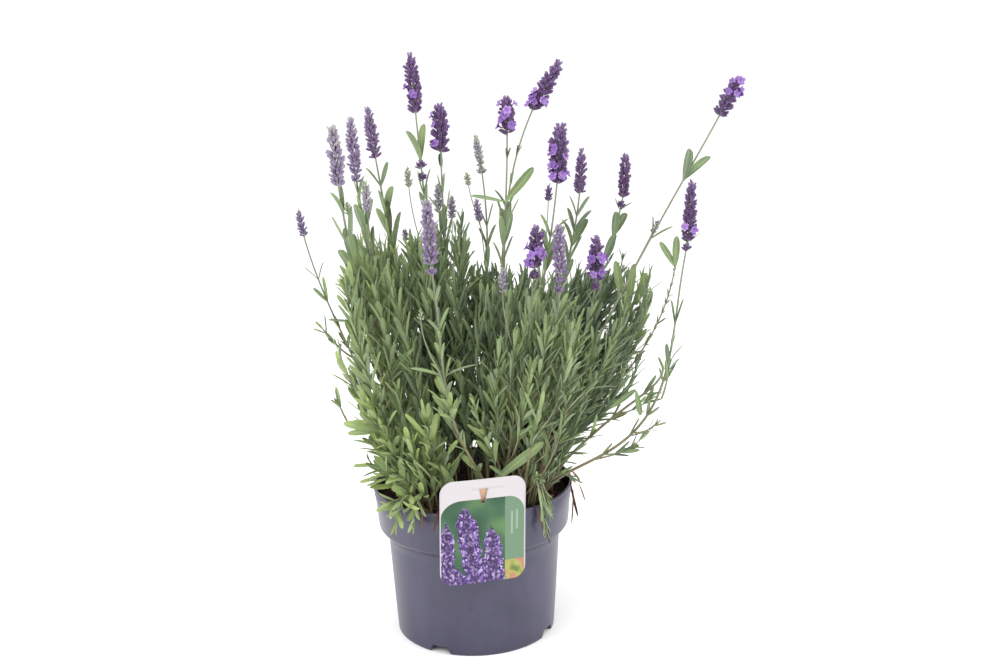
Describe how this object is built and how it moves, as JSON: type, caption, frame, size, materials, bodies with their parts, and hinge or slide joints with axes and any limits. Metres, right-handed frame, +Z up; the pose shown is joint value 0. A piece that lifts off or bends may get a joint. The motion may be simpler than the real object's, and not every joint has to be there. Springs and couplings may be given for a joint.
{
  "type": "potted lavender",
  "caption": "Bushy lavender with purple flower spikes on long bare stalks, in a tapered grey plastic nursery pot with a deep collar and a card label on its rim.",
  "frame": {"origin": "centre of the pot's flat underside, on the surface that it stands on", "axes": "+Z up along the pot's axis; -Y is the front, where the label hangs; +X is to the right seen from the front"},
  "size_m": [0.405, 0.2798, 0.548],
  "materials": {
    "pot_plastic": "satin, slate grey with a violet tint",
    "soil": "rough, dark brown",
    "label_card": "glossy printed card",
    "leaves": "matt, grey-green",
    "stalks": "matt, pale grey-green",
    "flowers": "matt, violet"
  },
  "bodies": {
    "root": {"nursery_pot": "pot_plastic", "potting_soil": "soil", "plant_label": "label_card", "leafy_shoot_01": "leaves", "leafy_shoot_02": "leaves", "leafy_shoot_03": "leaves", "leafy_shoot_04": "leaves", "leafy_shoot_05": "leaves", "leafy_shoot_06": "leaves", "leafy_shoot_07": "leaves", "leafy_shoot_08": "leaves", "leafy_shoot_09": "leaves", "leafy_shoot_10": "leaves", "leafy_shoot_11": "leaves", "leafy_shoot_12": "leaves", "leafy_shoot_13": "leaves", "leafy_shoot_14": "leaves", "leafy_shoot_15": "leaves", "leafy_shoot_16": "leaves", "leafy_shoot_17": "leaves", "leafy_shoot_18": "leaves", "leafy_shoot_19": "leaves", "leafy_shoot_20": "leaves", "leafy_shoot_21": "leaves", "flower_stalk_01": "stalks", "flower_stalk_02": "stalks", "flower_stalk_03": "stalks", "flower_stalk_04": "stalks", "flower_stalk_05": "stalks", "flower_stalk_06": "stalks", "flower_stalk_07": "stalks", "flower_stalk_08": "stalks", "flower_stalk_09": "stalks", "flower_stalk_10": "stalks", "flower_stalk_11": "stalks", "flower_stalk_12": "stalks", "flower_stalk_13": "stalks", "flower_stalk_14": "stalks", "flower_stalk_15": "stalks", "flower_stalk_16": "stalks", "flower_stalk_17": "stalks", "flower_stalk_18": "stalks", "flower_spike_01": "flowers", "flower_spike_02": "flowers", "flower_spike_03": "flowers", "flower_spike_04": "flowers", "flower_spike_05": "flowers", "flower_spike_06": "flowers", "flower_spike_07": "flowers", "flower_spike_08": "flowers", "flower_spike_09": "flowers", "flower_spike_10": "flowers", "flower_spike_11": "flowers", "flower_spike_12": "flowers", "flower_spike_13": "flowers", "flower_spike_14": "flowers", "flower_spike_15": "flowers", "flower_spike_16": "flowers", "flower_spike_17": "flowers", "flower_spike_18": "flowers"}
  },
  "joints": []
}
